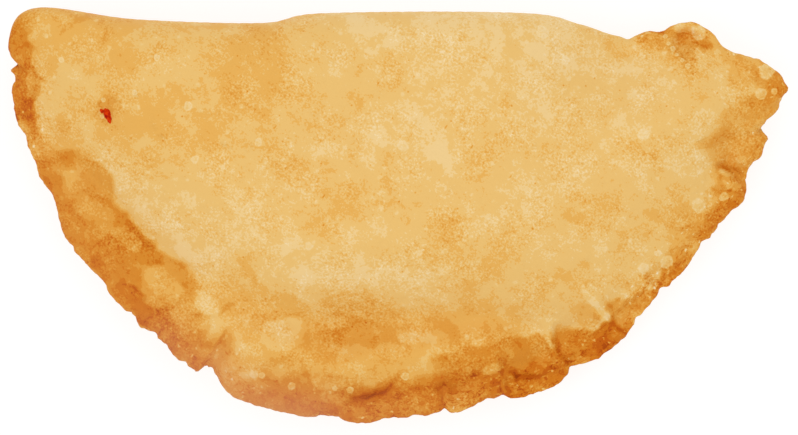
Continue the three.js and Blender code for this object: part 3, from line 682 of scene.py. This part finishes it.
def rim_marks(near):
    """Height of the rim's pads, dents and ridges, each turned along the edge."""
    height = np.zeros_like(near.x)
    for at, inward, rise, length, width in RIM_RELIEF:
        run = np.array([at * edge.pressed])
        ((tangent_x, tangent_y),) = edge_tangents(run)
        x, y = edge_points(run)[0] - inward * edge_outward(run)[0]
        along, across = turned(near, x, y, math.degrees(math.atan2(tangent_y, tangent_x)))
        height += rise * bell(along, length) * bell(across, width)
    return height


def frayed_places(near, amount):
    """The same places shifted a little at random, so that tones end in frayed borders."""
    shift_x = grain(near, FRAYING, seed=80)
    shift_y = grain(near, FRAYING, seed=90)
    return SimpleNamespace(x=near.x + amount * shift_x, y=near.y + amount * shift_y)


def pleats_of(near):
    """Height of the pleats and their terraces, and the painted shade along each pleat's right side, where
    its crease is.
    """
    height, crease_shade = np.zeros_like(near.x), np.zeros_like(near.x)
    bend = grain(near, PLEAT_BENDS, seed=22)
    for at, reach, drop, run, ridge in PLEATS:
        along = (near.share - at) * edge.pressed + bend
        inside = near.on_rim * (1 - smoothstep(near.inward - reach, *PLEAT_END))
        terrace = smoothstep(along, *PLEAT_STEP) * (1 - smoothstep(along, TERRACE_FLAT * run, run))
        height -= drop * terrace * inside
        height += ridge * bell(along, *PLEAT_RIDGE) * inside
        crease_shade = np.maximum(crease_shade, bell(along, *PLEAT_SHADE_BELL) * inside)
    return height, crease_shade


def line_distance(places, points):
    """Distance in plan from a line through points, worked out with complex numbers."""
    spots = places.x + 1j * places.y
    corners = [complex(*point) for point in points]
    nearest = np.inf
    for start, end in zip(corners, corners[1:]):
        along = np.clip(((spots - start) / (end - start)).real, 0, 1)
        nearest = np.minimum(nearest, abs(spots - start - along * (end - start)))
    return nearest


def cracks(near):
    """Height and browning of the single cracks and ridges; the browning along the dome's foot is painted
    shade.
    """
    height, browning_and_painted_light = np.zeros_like(near.x), np.zeros_like(near.x)
    frayed = frayed_places(near, CRACK_FRAYING)
    for half, rise, brown, points in CRACKS:
        mark = bell(line_distance(frayed, points), half)
        height += rise * mark
        browning_and_painted_light += brown * mark
    return height, browning_and_painted_light


def lower_sheet(near):
    """Step down to the lower sheet and the painted shade along the step's foot."""
    waver = grain(SimpleNamespace(x=near.share * edge.pressed, y=0), STEP_WAVER, seed=20)
    line = eased(LOWER_SHEET, near.share, 1) + waver + grain(near, STEP_FRAYING, seed=21)
    drop = eased(LOWER_SHEET, near.share, 2) * near.on_rim
    step = smoothstep(line - near.inward, -STEP_SOFTNESS, STEP_SOFTNESS)
    crease_shade = bell(near.inward - line + STEP_SOFTNESS, STEP_SHADE_BELL) * drop
    return -step * drop, crease_shade


def blisters(near):
    """Height of the blisters that frying raised on the crust."""
    height = np.zeros_like(near.x)
    random = np.random.default_rng(BLISTER_SEED)
    spots = list(BLISTERS)
    reach_x, reach_y = BLISTER_FIELD
    for _ in range(SMALL_BLISTERS):
        x, y = random.uniform(-reach_x, reach_x), random.uniform(-reach_y, reach_y)
        spots.append((x, y, random.uniform(*SMALL_BLISTER_RADII)))
    for x, y, radius in spots:
        share = np.hypot(near.x - x, near.y - y) / radius
        height += BLISTER_HEIGHT * radius * np.clip(1 - share**2, 0, 1) ** BLISTER_STEEPNESS
    return height


def pit_depth(near, half):
    return FLECK_PIT.depth * bell(np.hypot(near.x - FLECK_PIT.x, near.y - FLECK_PIT.y), half)


def sheet_height(near, lip):
    return lip + (RIM_THICKNESS / 2 - lip) * near.rounding


def top_face(near, lip):
    """Height of the puffed face and its traits."""
    marks = rim_marks(near)
    pleats, pleat_shade = pleats_of(near)
    step, step_shade = lower_sheet(near)
    crack_height, crack_browning_and_shade = cracks(near)
    crag_share = bell(near.inward, CRAG_REACH) * near.on_rim
    crags = grain(near, CRAG_GRAIN, seed=40) * crag_share
    fine = grain(near, CRUST_GRAIN, seed=50) + blisters(near) + crags
    height = seam_height(near) + sheet_height(near, lip) + dome_height(near)
    height += (marks + pleats + step + fine + crack_height) * near.rounding
    height -= pit_depth(near, FLECK_PIT.half)
    # Painted shade in the pleats' creases and at the step's foot; on the crags painted shade in the hollows
    # and painted light on the tops
    toast_and_shade = face_toast_and_shade(near) + PLEAT_SHADE * pleat_shade + STEP_SHADE * step_shade
    toast_and_shade += crack_browning_and_shade - CRAG_SHADE_AND_LIGHT * crags
    ruddy = eased(RIM_RUDDINESS, near.share) * near.on_rim * bell(near.inward, RUDDY_REACH)
    craggy = eased(CRAGGINESS, near.share) * crag_share
    return height, traits_of(near, toast_and_shade, ruddy, craggy)


def traits_of(near, toast_and_shade, ruddy, craggy):
    return np.column_stack([toast_and_shade, ruddy, craggy, near.share * edge.pressed, near.inward])


def patches_and_painted_light(near):
    browning_and_painted_light = np.zeros_like(near.x)
    frayed = frayed_places(near, 1)
    for x, y, length, width, hundredths, *turn in PATCHES:
        along, across = turned(frayed, x, y, *turn)
        browning_and_painted_light += hundredths / 100 * bell(along, length) * bell(across, width)
    return browning_and_painted_light


def faceted(near, toast_and_shade):
    """Browning with the facets of the rim laid over it, each even and with a ragged border."""
    frayed = frayed_places(near, FACET_FRAYING)
    slightly_frayed = frayed_places(near, NARROW_FRAYING)
    for x, y, length, width, hundredths, *turn in FACETS:
        along, across = turned(frayed if width > NARROW_FACET else slightly_frayed, x, y, *turn)
        reach = abs(along / length) ** FACET_SQUARENESS + abs(across / width) ** FACET_SQUARENESS
        cover = 1 - smoothstep(reach ** (1 / FACET_SQUARENESS), *FACET_BORDER)
        toast_and_shade = toast_and_shade + FACET_STRENGTH * cover * (hundredths / 100 - toast_and_shade)
    return toast_and_shade


def top_toast_and_shade(near):
    """Browning of the puffed face and its rim, with painted shade in the valley and the pit, before the
    small marks and patches.
    """
    reach, softness, strength = (eased(RIM_BROWNING, near.share, column) for column in (1, 2, 3))
    reach += (RIM_FRAY + SOFT_RIM_FRAY * softness) * grain(near, RIM_FRAYING, seed=23)
    rim = strength * near.on_rim * smoothstep((reach - near.inward) / softness, -0.5, 0.5)
    # Painted shade in the valley at the dome's foot
    start, rise, fall, end = VALLEY_SHARES
    valley_shade = smoothstep(near.share, start, rise) * (1 - smoothstep(near.share, fall, end))
    valley_shade *= VALLEY_SHADE * bell(near.rim_distance - near.rim_width, *VALLEY_BELL)
    fold = eased(FOLD_BROWNING, near.x) * (1 - near.on_rim) * bell(near.fold_distance, FOLD_TOAST_REACH)
    # Painted shade in the pit, and a wider soft darkening round it
    round_pit = ROUND_PIT_DARKENING * pit_depth(near, ROUND_PIT_HALF)
    pit_shade = PIT_SHADE * pit_depth(near, FLECK_PIT.half)
    return DOME_TOAST + rim + valley_shade + fold + round_pit + pit_shade


def face_toast_and_shade(near):
    """Browning of the puffed face and its rim with its patches and facets; a few of the patches are painted
    shade and light.
    """
    return faceted(near, top_toast_and_shade(near) + patches_and_painted_light(near))


def belly_face(near, lip):
    rim_share = np.clip((near.rim_distance - BELLY_RIM) / BELLY_RUN, 0, 1)
    drop = BELLY_DROP * (1 - (1 - rim_share) ** 2) * quarter_round(near.fold_distance / BELLY_NOSE)
    fine = near.rounding * grain(near, CRUST_GRAIN, seed=60)
    height = seam_height(near) - sheet_height(near, lip) - drop + fine
    below = BELLY_TOAST + CONTACT_TOAST * (1 - smoothstep(height, -CONTACT_HEIGHT, CONTACT_HEIGHT))
    side = face_toast_and_shade(near)
    toast_and_shade = side + (below - side) * smoothstep(near.edge_distance, 0, BELLY_TOAST_RUN)
    nothing = np.zeros_like(height)
    return soft_ramp(height, BELLY_SOFTNESS), traits_of(near, toast_and_shade, nothing, nothing)


def middle_of_solid():
    """Middle of the solid's outline in plan, which its frame has at the origin."""
    lengths = np.linspace(0, edge.total, OUTLINE_SAMPLES)
    broken = sum_of_breaks(EDGE_BREAKS, lengths / edge.pressed)
    outline = edge_points(lengths) + edge_outward(lengths) * broken[:, None]
    return (outline.min(axis=0) + outline.max(axis=0)) / 2


def cap(spine, ring):
    """Faces from a spine to the first ring round it."""
    step = np.arange(RIM_COLUMNS)
    faces = np.stack([spine[step], ring[step], ring[step + 1], spine[step + 1]], axis=1).tolist()
    step = np.arange(FOLD_COLUMNS)
    before, after = ring[RIM_COLUMNS + step], ring[(RIM_COLUMNS + step + 1) % COLUMNS]
    feet = RIM_COLUMNS - 2 * step
    corners = [spine[feet], before, after, spine[feet - 2], spine[feet - 1]]
    return faces + np.stack(corners, axis=1).tolist()


def face_places(columns, lip, rings, crowding, face):
    """Places of one face and their traits, first on its spine and then ring by ring from the inside out."""
    reaches = 1 - (1 - np.arange(1, rings + 1) / rings) ** crowding
    spine = spine_places(np.arange(SPINE_PLACES) / RIM_COLUMNS)
    parts = [(*spine.T, np.full(SPINE_PLACES, columns.depth.min()))]
    parts += [places_on(columns, reach) for reach in reaches]
    x, y, distance = (np.concatenate(values) for values in zip(*parts))
    lips = np.concatenate([np.full(SPINE_PLACES, LIP_HEIGHT), np.tile(lip, rings)])
    height, traits = face(survey(x, y, distance), lips)
    return np.column_stack([x, y, height]), traits


def seam_places(columns):
    """Places between the two sheets, set back where the seam gapes, and their traits."""
    x, y, _ = places_on(columns, 1.0)
    point = np.column_stack([x, y]) - columns.outward * (SEAM_GAP * columns.opening)[:, None]
    nothing = np.zeros(COLUMNS)
    near = survey(x, y, nothing)
    toast_and_shade = face_toast_and_shade(near) + SEAM_TOAST * columns.on_rim
    traits = np.column_stack([toast_and_shade, nothing, columns.on_rim, columns.lengths, nothing])
    return np.column_stack([point, seam_height(near)]), traits


def make_skin():
    """Places of the closed skin, their traits, and its faces. The seam is a ring of its own."""
    columns = make_columns()
    lip = LIP_AT_FOLD + (LIP_HEIGHT - LIP_AT_FOLD) * columns.on_rim
    top = face_places(columns, lip, TOP_RINGS, TOP_CROWDING, top_face)
    belly = face_places(columns, lip, BELLY_RINGS, BELLY_CROWDING, belly_face)
    places, traits = (np.concatenate(values) for values in zip(top, seam_places(columns), belly))
    belly_start = len(places) - len(belly[0])
    ends = [SPINE_PLACES, belly_start, belly_start + SPINE_PLACES]
    top_spine, top_rings, belly_spine, belly_rings = np.split(np.arange(len(places)), ends)
    rings = [*top_rings.reshape(-1, COLUMNS), *belly_rings.reshape(-1, COLUMNS)[::-1]]
    faces = cap(top_spine, rings[0])
    for inner, outer in zip(rings, rings[1:]):
        faces += np.stack([inner, outer, np.roll(outer, -1), np.roll(inner, -1)], axis=1).tolist()
    faces += [face[::-1] for face in cap(belly_spine, rings[-1])]
    return places, traits, faces


def add_piece(name, places, faces, material):
    mesh = bpy.data.meshes.new(name)
    mesh.from_pydata((places * MM).tolist(), [], faces)
    mesh.polygons.foreach_set("use_smooth", np.ones(len(mesh.polygons), bool))
    mesh.materials.append(material)
    piece = bpy.data.objects.new(name, mesh)
    bpy.context.collection.objects.link(piece)
    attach(piece, "root")
    return piece


def make_crust(middle):
    places, traits, faces = make_skin()
    places[:, :2] -= middle
    crust = add_piece("crust", places, faces, crust_material(middle))
    for key, values in zip(TRAITS, traits.astype(np.float32).T):
        attribute = crust.data.attributes.new(key, "FLOAT", "POINT")
        attribute.data.foreach_set("value", np.ascontiguousarray(values))
    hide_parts("empanada")


def make_ball():
    """Places and faces of a ball of radius 1."""
    ball = bmesh.new()
    bmesh.ops.create_uvsphere(ball, u_segments=FLECK_SIDES, v_segments=FLECK_LEVELS, radius=1)
    ball.verts.index_update()
    places = np.array([vertex.co for vertex in ball.verts])
    faces = [[vertex.index for vertex in face.verts] for face in ball.faces]
    ball.free()
    return places, faces


def make_fleck(middle, name, x, y, size, degrees, material):
    """Soft crumpled fleck of the filling, half sunk in its pit."""
    ball, faces = make_ball()
    wrapped = SimpleNamespace(x=ball[:, 0] + CRUMPLE_PLACE, y=ball[:, 1] + ball[:, 2])
    shape = ball * np.array(size) / 2 * (1 + grain(wrapped, CRUMPLES, seed=70)[:, None])
    along, across = turned(SimpleNamespace(x=shape[:, 0], y=shape[:, 1]), 0, 0, -degrees)
    near = survey(np.array([x]), np.array([y]), np.array([DOME_REACH]))
    height, _ = top_face(near, np.array([LIP_HEIGHT]))
    places = np.column_stack([along + x - middle[0], across + y - middle[1], shape[:, 2] + height])
    add_piece(name, places, faces, material)


def make_flecks(middle):
    material = fleck_material()
    for name, x, y, size, degrees in FLECKS:
        make_fleck(middle, name, x, y, size, degrees, material)


def linear(colour):
    """Linear colour with alpha of a colour given as it shows, 0 to 255."""
    return (*Color(np.array(colour) / 255).from_srgb_to_scene_linear(), 1)


def new_material(name):
    """A new material and its shader."""
    material = bpy.data.materials.new(name)
    material.use_nodes = True
    return material, material.node_tree.nodes["Principled BSDF"]


def fill(node, inputs):
    """Gives a node its inputs: plain values, or outputs of other nodes."""
    for key, source in inputs.items():
        if isinstance(source, bpy.types.NodeSocket):
            node.id_data.links.new(source, node.inputs[key])
        else:
            node.inputs[key].default_value = source


class Nodes:
    """Short forms for making and joining the nodes of one material."""

    def __init__(self, name):
        self.material, self.shader = new_material(name)
        self.point = self.node("TexCoord", {}, "Object")
        turn = {"Vector": self.point, "Scale": TEXTURE_SQUEEZE, "Rotation": TEXTURE_TURN}
        self.place = self.node("Mapping", turn)

    def node(self, kind, inputs, output=0, **settings):
        """One output of a new node with these inputs and settings."""
        node = self.material.node_tree.nodes.new("ShaderNode" + kind)
        for key, value in settings.items():
            setattr(node, key, value)
        fill(node, inputs)
        return node.outputs[output]

    def attribute(self, name):
        return self.node("Attribute", {}, "Fac", attribute_name=name)

    def math(self, operation, first, second=0.0):
        return self.node("Math", {0: first, 1: second}, operation=operation)

    def times(self, first, second):
        return self.math("MULTIPLY", first, second)

    def plus(self, value, part, share=1.0):
        """The value with a share of a part added."""
        return self.node("Math", {0: part, 1: share, 2: value}, operation="MULTIPLY_ADD")

    def vector(self, operation, first, second):
        output = "Value" if operation == "DISTANCE" else "Vector"
        return self.node("VectorMath", {0: first, 1: second}, output, operation=operation)

    def spread(self, value, low, high, to_low, to_high):
        """The value carried from one range to another and held at its ends."""
        ends = {"From Min": low, "From Max": high, "To Min": to_low, "To Max": to_high}
        return self.node("MapRange", {"Value": value, **ends})

    def noise_at(self, place, scale, detail, roughness):
        inputs = {"Vector": place, "Scale": scale, "Detail": detail, "Roughness": roughness}
        return self.node("TexNoise", inputs)

    def noise(self, size, detail, roughness=0.5):
        return self.noise_at(self.place, 1 / (size * MM), detail, roughness)

    def swing(self, size, detail, roughness, amount):
        """Noise from minus an amount to plus an amount."""
        return self.spread(self.noise(size, detail, roughness), 0, 1, -amount, amount)

    def patchy(self, size, band, values=(0, 1), detail=2, roughness=0.5):
        """Noise that goes from one value to another across a band."""
        return self.spread(self.noise(size, detail, roughness), *band, *values)

    def rim_noise(self, along, across):
        """Noise drawn out along the rim, its features given in millimetres along and across."""
        run = self.math("DIVIDE", self.attribute("along"), along)
        depth = self.math("DIVIDE", self.attribute("inward"), across)
        return self.noise_at(self.node("CombineXYZ", {"X": run, "Y": depth}), 1, *RIM_NOISE)

    def stretched(self, degrees, stretch):
        """The place drawn out along a turned direction."""
        turn = {"Vector": self.point, "Rotation": (0, 0, math.radians(degrees)), "Scale": (stretch, 1, 1)}
        return self.node("Mapping", turn, vector_type="TEXTURE")

    def spots(self, place, size, radius, kept):
        """Spots of a radius in millimetres, one to a cell, in a share of the cells."""
        distance = self.node("TexVoronoi", {"Vector": place, "Scale": 1 / (size * MM)}, "Distance")
        lot = self.node("SeparateColor", {"Color": distance.node.outputs["Color"]})
        share = radius / size
        return self.times(self.spread(distance, share / 2, share, 1, 0), self.math("LESS_THAN", lot, kept))

    def ragged_spots(self, size, radius, kept, shift, shaking):
        """Spots whose places are shifted at random by up to about a shift, with features of a size."""
        random = self.node("TexNoise", {"Vector": self.place, "Scale": 1 / (shaking * MM)}, "Color")
        centred = self.vector("SUBTRACT", random, (NOISE_MIDDLE,) * 3)
        shifted = self.vector("ADD", self.place, self.vector("MULTIPLY", centred, (2 * shift * MM,) * 3))
        return self.spots(shifted, size, radius, kept)

    def mix(self, first, second, share):
        """Mix of two values; this node's sockets go by number, as several of them share a name."""
        return self.node("Mix", {0: share, 2: first, 3: second})

    def tint(self, first, second, share):
        """Mix of two colours."""
        return self.node("Mix", {0: share, 6: first, 7: second}, 2, data_type="RGBA")

    def ramp(self, value, stops):
        colour = self.node("ValToRGB", {"Fac": value})
        elements = colour.node.color_ramp.elements
        while len(elements) < len(stops):
            elements.new(0.5)
        for element, (place, shown) in zip(elements, stops):
            element.position = place
            element.color = linear(shown)
        return colour

    def bump(self, height, depth, strength):
        return self.node("Bump", {"Distance": depth * MM, "Strength": strength, "Height": height})


def blister_share(nodes, middle):
    """Distance in plan from the nearest large blister, as a share of its radius."""
    flat = nodes.vector("MULTIPLY", nodes.point, (1, 1, 0))
    nearest = FAR_FROM_BLISTERS
    for x, y, radius in BLISTERS:
        place = ((x - middle[0]) * MM, (y - middle[1]) * MM, 0)
        share = nodes.math("DIVIDE", nodes.vector("DISTANCE", flat, place), radius * MM)
        nearest = nodes.math("MINIMUM", share, nearest)
    return nodes.plus(nearest, nodes.swing(*BLISTER_FRAYING))


def blister_paleness(nodes, share):
    """Pale disc with a paler ring, mottled, from the share of a blister's radius."""
    disc = nodes.spread(share, *BLISTER_BORDER, BLISTER_PALENESS, 0)
    from_ring = nodes.math("ABSOLUTE", nodes.math("SUBTRACT", share, BLISTER_RING))
    paleness = nodes.plus(disc, nodes.spread(from_ring, 0, RING_WIDTH, RING_PALENESS, 0))
    return nodes.times(paleness, nodes.patchy(*BLISTER_MOTTLE))


def stepped(nodes, value):
    """The value drawn towards even steps, so that tones meet in crisp ragged borders."""
    steps = nodes.math("DIVIDE", value, TONE_STEP)
    within = nodes.spread(nodes.math("FRACT", steps), *TONE_BORDER, 0, 1)
    whole = nodes.plus(within, nodes.math("FLOOR", steps))
    return nodes.mix(value, nodes.times(whole, TONE_STEP), TONE_STEPPING)


def rim_lines(nodes, craggy):
    """Painted shade in creases and browning of pale flakes that run along the craggy rim in short lengths.
    """
    # Painted shade in the rim's creases
    crease_noise = nodes.math("SUBTRACT", nodes.rim_noise(*CREASE_SIZE), NOISE_MIDDLE)
    from_crease = nodes.math("ABSOLUTE", crease_noise)
    rim_crease_shade = nodes.spread(from_crease, 0, CREASE_WIDTH, CREASE_SHADE, 0)
    flakes = nodes.spread(nodes.rim_noise(*FLAKE_SIZE), *FLAKE_BAND, 0, FLAKE_TOAST)
    lines = nodes.times(rim_crease_shade, nodes.patchy(*CREASE_PLACES))
    return nodes.times(nodes.plus(lines, flakes, nodes.patchy(*FLAKE_PLACES)), craggy)


def uneven_toast(nodes, base, craggy, brown):
    """Browning in uneven tones with crisp borders, crumbly on the rim and grainy in places."""
    toast_and_shade = base
    for values in TOAST_NOISE:
        toast_and_shade = nodes.plus(toast_and_shade, nodes.swing(*values))
    crumbly = nodes.math("MAXIMUM", craggy, nodes.times(brown, BROWN_CRUMBS))
    toast_and_shade = nodes.plus(toast_and_shade, nodes.swing(*CRUMB_NOISE), crumbly)
    grainy = nodes.patchy(*GRAINY_PLACES)
    for values in TOAST_GRAIN:
        toast_and_shade = nodes.plus(toast_and_shade, nodes.swing(*values), grainy)
    return stepped(nodes, toast_and_shade)


def pale_spots(nodes, brown, middle):
    """How strongly the large blisters and the small dots are drawn to the pale tone."""
    dots = nodes.ragged_spots(*PALE_DOTS)
    dots = nodes.times(dots, nodes.spread(brown, 0, 1, *DOT_PALENESS))
    pale = nodes.math("MAXIMUM", blister_paleness(nodes, blister_share(nodes, middle)), dots)
    return nodes.times(pale, PALE_STRENGTH)


def small_marks(nodes, craggy):
    """Paleness of the rim's flecks, partly painted glints, painted shade of its dark pits, and browning of
    the dark specks and dashes all over.
    """
    # Painted glints and painted shade of small hollows on the rim
    glints = nodes.times(nodes.ragged_spots(*RIM_GLINTS), GLINT_LIGHTENING)
    crags = nodes.plus(glints, nodes.ragged_spots(*PITS), PIT_SPOT_SHADE)
    specks = nodes.spots(nodes.place, *SPECKS)
    dashes = nodes.spots(nodes.stretched(*DASH_STRETCH), *DASHES)
    marks = nodes.times(nodes.math("MAXIMUM", specks, dashes), SPECK_TOAST)
    return nodes.plus(marks, crags, craggy)


def crust_material(middle):
    nodes = Nodes("crust")
    base = nodes.attribute("toast_and_shade")
    craggy = nodes.attribute("craggy")
    brown = nodes.spread(base, *BROWN_BAND, 0, 1)
    toast_and_shade = nodes.plus(uneven_toast(nodes, base, craggy, brown), rim_lines(nodes, craggy))
    toast_and_shade = nodes.mix(toast_and_shade, PALE_TOAST, pale_spots(nodes, brown, middle))
    toast_and_shade = nodes.plus(toast_and_shade, small_marks(nodes, craggy))
    colour = nodes.tint(nodes.ramp(toast_and_shade, CRUST_COLOURS), linear(RUDDY_COLOUR), nodes.attribute("ruddy"))
    height = nodes.plus(nodes.noise(*BUMP_NOISE), nodes.noise(*FINE_BUMP_NOISE), FINE_BUMP_SHARE)
    strength = nodes.spread(brown, 0, 1, *BUMP_STRENGTH)
    fill(nodes.shader, {
        "Base Color": colour, "Normal": nodes.bump(height, BUMP_DEPTH, strength),
        "Roughness": nodes.patchy(*CRUST_ROUGHNESS), "Specular IOR Level": CRUST_SPECULAR,
    })
    return nodes.material


def fleck_material():
    nodes = Nodes("fleck")
    colour = nodes.ramp(nodes.noise(*FLECK_NOISE), FLECK_COLOURS)
    fill(nodes.shader, {
        "Base Color": colour, "Roughness": FLECK_ROUGHNESS, "Specular IOR Level": FLECK_SPECULAR,
    })
    return nodes.material


def make_floor():
    bpy.ops.mesh.primitive_plane_add(size=FLOOR_SIZE, location=(0, 0, 0))
    floor = bpy.context.object
    floor.name = "floor"
    material, shader = new_material("floor")
    fill(shader, {
        "Base Color": linear(FLOOR_COLOUR), "Emission Color": WHITE, "Emission Strength": FLOOR_GLOW,
        "Roughness": FLOOR_ROUGHNESS, "Specular IOR Level": FLOOR_SPECULAR,
    })
    floor.data.materials.append(material)


def add_softbox(name, place, size, power):
    light = bpy.data.lights.new(name, "AREA")
    light.size = size
    light.energy = power
    softbox = bpy.data.objects.new(name, light)
    softbox.location = place
    softbox.rotation_euler = (-softbox.location).to_track_quat("-Z", "Y").to_euler()
    softbox.visible_camera = False
    bpy.context.collection.objects.link(softbox)


def make_light():
    world = bpy.data.worlds.new("studio")
    world.use_nodes = True
    fill(world.node_tree.nodes["Background"], {"Color": WHITE, "Strength": WORLD_STRENGTH})
    bpy.context.scene.world = world
    for softbox in SOFTBOXES:
        add_softbox(*softbox)
    bpy.context.scene.view_settings.view_transform = "Standard"


def make_camera():
    camera = bpy.data.cameras.new("camera")
    camera.sensor_width = SENSOR_WIDTH
    above_seam = CAMERA_HEIGHT - SEAM_HEIGHT * MM
    camera.lens = SENSOR_WIDTH * above_seam / (PICTURE_WIDTH / PIXELS_PER_MM * MM)
    viewer = bpy.data.objects.new("camera", camera)
    off_x = (PICTURE_WIDTH / 2 - OBJECT_MIDDLE[0]) / PIXELS_PER_MM * MM
    off_y = (OBJECT_MIDDLE[1] - PICTURE_HEIGHT / 2) / PIXELS_PER_MM * MM
    viewer.location = (off_x, off_y, CAMERA_HEIGHT)
    bpy.context.collection.objects.link(viewer)
    bpy.context.scene.camera = viewer


def main():
    middle = middle_of_solid()
    make_crust(middle)
    make_flecks(middle)
    make_floor()
    make_light()
    make_camera()


main()
